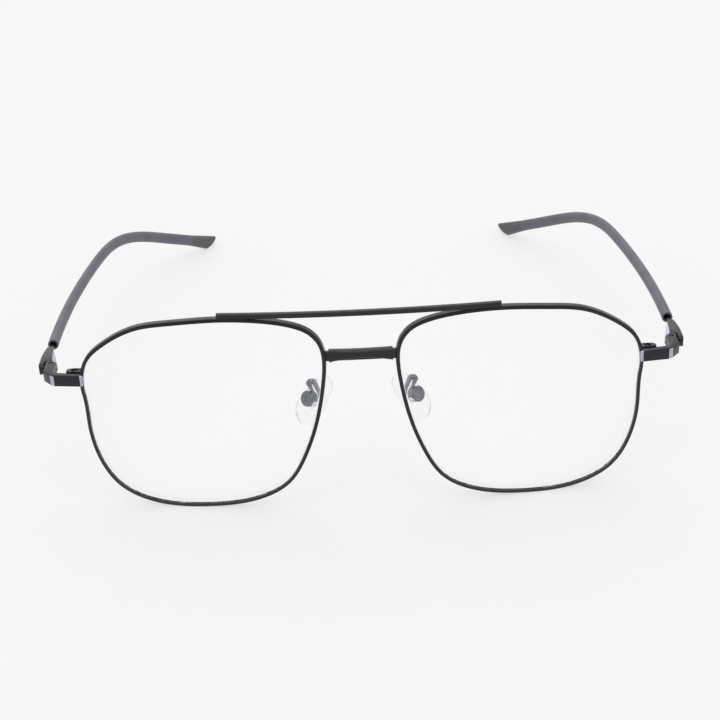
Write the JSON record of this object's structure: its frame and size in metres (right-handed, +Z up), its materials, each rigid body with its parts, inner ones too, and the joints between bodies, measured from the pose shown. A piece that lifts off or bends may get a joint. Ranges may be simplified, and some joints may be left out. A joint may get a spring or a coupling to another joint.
{
  "type": "double bridge glasses",
  "caption": "Metal full-rim glasses with a bridge and a straight brow bar, clear lenses, rocking nose pads and folding temples that end in bent ear sleeves.",
  "frame": {"origin": "under the middle of the whole frame, on the table that the rims and end caps rest on, with the temples open", "axes": "+X to the wearer's left, +Y back from the lenses towards the ears, +Z up"},
  "size_m": [0.1474, 0.1524, 0.0501],
  "materials": {
    "black_metal": "semi-gloss black coating",
    "clear_lens": "clear with an anti-reflection coating",
    "dark_screw": "black plated",
    "bright_screw": "bright",
    "grey_sleeve": "satin grey",
    "dark_cap": "smooth dark grey",
    "clear_pad": "soft clear silicone"
  },
  "bodies": {
    "front": {"left_rim": "black_metal", "left_lens": "clear_lens", "left_end_piece": "black_metal", "left_hinge_screw": "dark_screw", "left_upper_rim_lock": "black_metal", "left_lower_rim_lock": "black_metal", "left_lock_screw": "dark_screw", "left_pad_box": "black_metal", "left_pad_screw": "bright_screw", "left_pad_arm": "black_metal", "right_rim": "black_metal", "right_lens": "clear_lens", "right_end_piece": "black_metal", "right_hinge_screw": "dark_screw", "right_upper_rim_lock": "black_metal", "right_lower_rim_lock": "black_metal", "right_lock_screw": "dark_screw", "right_pad_box": "black_metal", "right_pad_screw": "bright_screw", "right_pad_arm": "black_metal", "bridge": "black_metal", "brow_bar": "black_metal"},
    "left_temple": {"left_temple_leaf": "black_metal", "left_core_wire": "black_metal", "left_temple_sleeve": "grey_sleeve", "left_end_cap": "dark_cap"},
    "right_temple": {"right_temple_leaf": "black_metal", "right_core_wire": "black_metal", "right_temple_sleeve": "grey_sleeve", "right_end_cap": "dark_cap"},
    "left_pad": {"left_nose_pad": "clear_pad", "left_pad_insert": "clear_pad"},
    "right_pad": {"right_nose_pad": "clear_pad", "right_pad_insert": "clear_pad"}
  },
  "joints": [
    {"name": "left_temple_hinge", "type": "hinge", "parent": "front", "child": "left_temple", "pos_m": [0.07079, -0.064, 0.03325], "axis": [0, 0, 1], "range_deg": [0, 81.5]},
    {"name": "right_temple_hinge", "type": "hinge", "parent": "front", "child": "right_temple", "pos_m": [-0.07079, -0.064, 0.03325], "axis": [0, 0, -1], "range_deg": [0, 77]},
    {"name": "left_pad_rock", "type": "hinge", "parent": "front", "child": "left_pad", "pos_m": [0.01221, -0.06719, 0.02445], "axis": [0.5451, 0.766, 0.3406], "range_deg": [-8, 8]},
    {"name": "right_pad_rock", "type": "hinge", "parent": "front", "child": "right_pad", "pos_m": [-0.01221, -0.06719, 0.02445], "axis": [-0.5451, 0.766, 0.3406], "range_deg": [-8, 8]}
  ]
}
